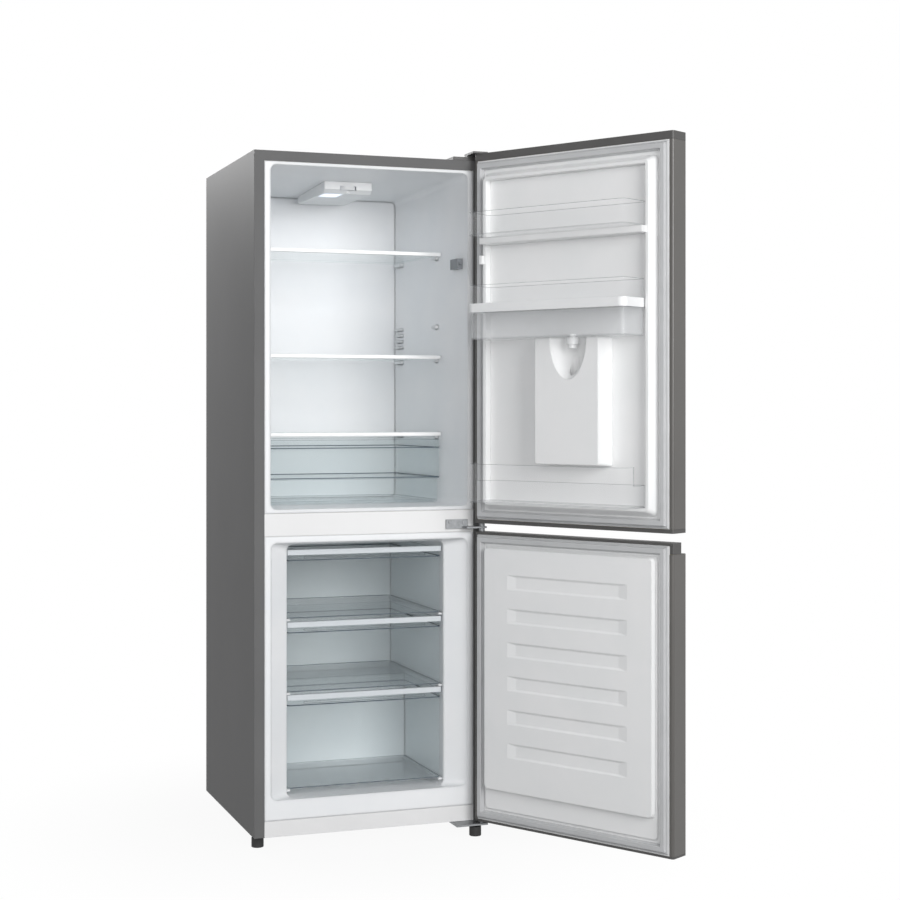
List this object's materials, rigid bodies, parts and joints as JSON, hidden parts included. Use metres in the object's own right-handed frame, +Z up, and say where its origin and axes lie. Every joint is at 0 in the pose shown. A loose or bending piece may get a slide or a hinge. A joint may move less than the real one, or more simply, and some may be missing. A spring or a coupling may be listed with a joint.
{
  "type": "bottom freezer refrigerator",
  "caption": "Free-standing refrigerator over a drawer freezer, two hinged doors with bins, a water tank and an outside dispenser.",
  "frame": {"origin": "centre of the cabinet's underside; the feet and rollers reach 30 mm below it", "axes": "+Z up, -Y out of the front, +X towards the hinges; both doors are stored open by 120 degrees"},
  "size_m": [0.8376, 1.0345, 1.5968],
  "materials": {
    "grey_painted_steel": "silver-grey paint with a fine satin texture",
    "white_painted_steel": "white paint, satin",
    "dark_painted_steel": "silver-grey paint, darker on the edges",
    "black_painted_steel": "black baked enamel",
    "zinc_steel": "zinc-coated sheet",
    "hinge_steel": "grey painted pressed steel",
    "screw_steel": "zinc-plated screws",
    "rigid_foam": "rigid polyurethane foam, out of sight",
    "white_liner": "thermoformed white polystyrene, soft gloss",
    "white_plastic": "moulded white plastic",
    "clear_plastic": "clear moulded polystyrene with a blue tint",
    "shelf_glass": "tempered shelf glass",
    "lens_plastic": "frosted lamp lens",
    "lamp_glass": "small frosted bulb",
    "seal_rubber": "grey flexible magnetic seal",
    "black_rubber": "black rubber",
    "dark_plastic": "dark grey moulded plastic",
    "black_plastic": "black moulded plastic",
    "copper": "bare copper pipe",
    "aluminium_sheet": "bonded aluminium cold plate"
  },
  "bodies": {
    "cabinet": {"outer_shell": "grey_painted_steel", "back_panel": "zinc_steel", "base_plate": "zinc_steel", "cabinet_foam": "rigid_foam", "fridge_liner": "white_liner", "freezer_liner": "white_liner", "front_rails": "white_painted_steel", "top_hinge_bracket": "hinge_steel", "middle_hinge_bracket": "hinge_steel", "bottom_hinge_bracket": "hinge_steel", "hinge_screws": "screw_steel", "hinge_cover": "dark_plastic", "lamp_housing": "white_plastic", "lamp_lens": "lens_plastic", "lamp_bulb": "lamp_glass", "switch_housing": "white_plastic", "compressor": "black_painted_steel", "rubber_grommets": "black_rubber", "condenser": "black_painted_steel", "refrigerant_pipes": "copper", "evaporator_plates": "aluminium_sheet"},
    "fridge_door": {"fridge_door_skin": "dark_painted_steel", "fridge_door_foam": "rigid_foam", "fridge_door_liner": "white_liner", "fridge_door_top_cap": "dark_plastic", "fridge_door_bottom_cap": "dark_plastic", "fridge_door_gasket": "seal_rubber", "dispenser_recess": "dark_plastic", "dispenser_nozzle": "dark_plastic"},
    "freezer_door": {"freezer_door_skin": "dark_painted_steel", "freezer_door_foam": "rigid_foam", "freezer_door_liner": "white_liner", "freezer_door_top_cap": "dark_plastic", "freezer_door_bottom_cap": "dark_plastic", "freezer_door_gasket": "seal_rubber"},
    "upper_shelf": {"upper_shelf_glass": "shelf_glass", "upper_shelf_trim": "white_plastic"},
    "lower_shelf": {"lower_shelf_glass": "shelf_glass", "lower_shelf_trim": "white_plastic"},
    "crisper_cover": {"crisper_cover_glass": "shelf_glass", "crisper_cover_trim": "white_plastic"},
    "crisper": {"crisper_drawer": "clear_plastic"},
    "top_drawer": {"freezer_drawer_top": "clear_plastic"},
    "middle_drawer": {"freezer_drawer_middle": "clear_plastic"},
    "bottom_drawer": {"freezer_drawer_bottom": "clear_plastic"},
    "thermostat_wheel": {"thermostat_knob": "white_plastic"},
    "light_switch": {"switch_plunger": "white_plastic"},
    "upper_door_bin": {"upper_bin": "clear_plastic"},
    "lower_door_bin": {"lower_bin": "clear_plastic"},
    "tank": {"water_tank": "clear_plastic", "tank_valve": "white_plastic", "tank_lid": "white_plastic", "tank_rail": "clear_plastic"},
    "filling_flap": {"tank_flap": "white_plastic"},
    "dispenser_paddle": {"dispenser_lever": "dark_plastic"},
    "drip_catcher": {"drip_tray": "dark_plastic"},
    "left_foot": {"front_foot_left": "black_plastic"},
    "right_foot": {"front_foot_right": "black_plastic"},
    "left_roller": {"rear_roller_left": "black_plastic"},
    "right_roller": {"rear_roller_right": "black_plastic"}
  },
  "joints": [
    {"name": "fridge_door_hinge", "type": "hinge", "parent": "cabinet", "child": "fridge_door", "pos_m": [0.263, -0.286, 0.7], "axis": [0, 0, 1], "range_deg": [-120, 5]},
    {"name": "freezer_door_hinge", "type": "hinge", "parent": "cabinet", "child": "freezer_door", "pos_m": [0.263, -0.286, 0.34], "axis": [0, 0, 1], "range_deg": [-120, 5]},
    {"name": "upper_shelf_slide", "type": "slide", "parent": "cabinet", "child": "upper_shelf", "axis": [0, -1, 0], "range_m": [0, 0.2]},
    {"name": "lower_shelf_slide", "type": "slide", "parent": "cabinet", "child": "lower_shelf", "axis": [0, -1, 0], "range_m": [0, 0.2]},
    {"name": "crisper_cover_slide", "type": "slide", "parent": "cabinet", "child": "crisper_cover", "axis": [0, -1, 0], "range_m": [0, 0.2]},
    {"name": "crisper_slide", "type": "slide", "parent": "cabinet", "child": "crisper", "axis": [0, -1, 0], "range_m": [0, 0.2]},
    {"name": "top_drawer_slide", "type": "slide", "parent": "cabinet", "child": "top_drawer", "axis": [0, -1, 0], "range_m": [0, 0.3]},
    {"name": "middle_drawer_slide", "type": "slide", "parent": "cabinet", "child": "middle_drawer", "axis": [0, -1, 0], "range_m": [0, 0.3]},
    {"name": "bottom_drawer_slide", "type": "slide", "parent": "cabinet", "child": "bottom_drawer", "axis": [0, -1, 0], "range_m": [0, 0.22]},
    {"name": "thermostat_turn", "type": "hinge", "parent": "cabinet", "child": "thermostat_wheel", "pos_m": [0, -0.0645, 1.496], "axis": [0, 0, 1], "range_deg": [0, 300]},
    {"name": "light_switch_press", "type": "slide", "parent": "cabinet", "child": "light_switch", "axis": [0, 1, 0], "range_m": [0, 0.005], "stiffness_N_per_m": 100, "springref_m": -0.002},
    {"name": "upper_bin_lift", "type": "slide", "parent": "fridge_door", "child": "upper_door_bin", "axis": [0, 0, 1], "range_m": [0, 0.025]},
    {"name": "lower_bin_lift", "type": "slide", "parent": "fridge_door", "child": "lower_door_bin", "axis": [0, 0, 1], "range_m": [0, 0.025]},
    {"name": "tank_lift", "type": "slide", "parent": "fridge_door", "child": "tank", "axis": [0, 0, 1], "range_m": [0, 0.03]},
    {"name": "filling_flap_hinge", "type": "hinge", "parent": "tank", "child": "filling_flap", "pos_m": [0.43999, -0.67456, 1.1944], "axis": [-0.5, 0.866, 0], "range_deg": [0, 95]},
    {"name": "dispenser_press", "type": "hinge", "parent": "fridge_door", "child": "dispenser_paddle", "pos_m": [0.36444, -0.57269, 1.0021], "axis": [-0.5, 0.866, 0], "range_deg": [0, 6], "stiffness_Nm_per_rad": 0.05, "springref_deg": -5.73},
    {"name": "drip_tray_slide", "type": "slide", "parent": "fridge_door", "child": "drip_catcher", "axis": [0.866, 0.5, 0], "range_m": [0, 0.08]},
    {"name": "left_foot_turn", "type": "hinge", "parent": "cabinet", "child": "left_foot", "pos_m": [-0.256, -0.213, 0], "axis": [0, 0, 1], "continuous": true},
    {"name": "right_foot_turn", "type": "hinge", "parent": "cabinet", "child": "right_foot", "pos_m": [0.247, -0.284, 0], "axis": [0, 0, 1], "continuous": true},
    {"name": "left_roller_spin", "type": "hinge", "parent": "cabinet", "child": "left_roller", "pos_m": [-0.232, 0.232, -0.0155], "axis": [1, 0, 0], "continuous": true},
    {"name": "right_roller_spin", "type": "hinge", "parent": "cabinet", "child": "right_roller", "pos_m": [0.232, 0.232, -0.0155], "axis": [1, 0, 0], "continuous": true}
  ]
}
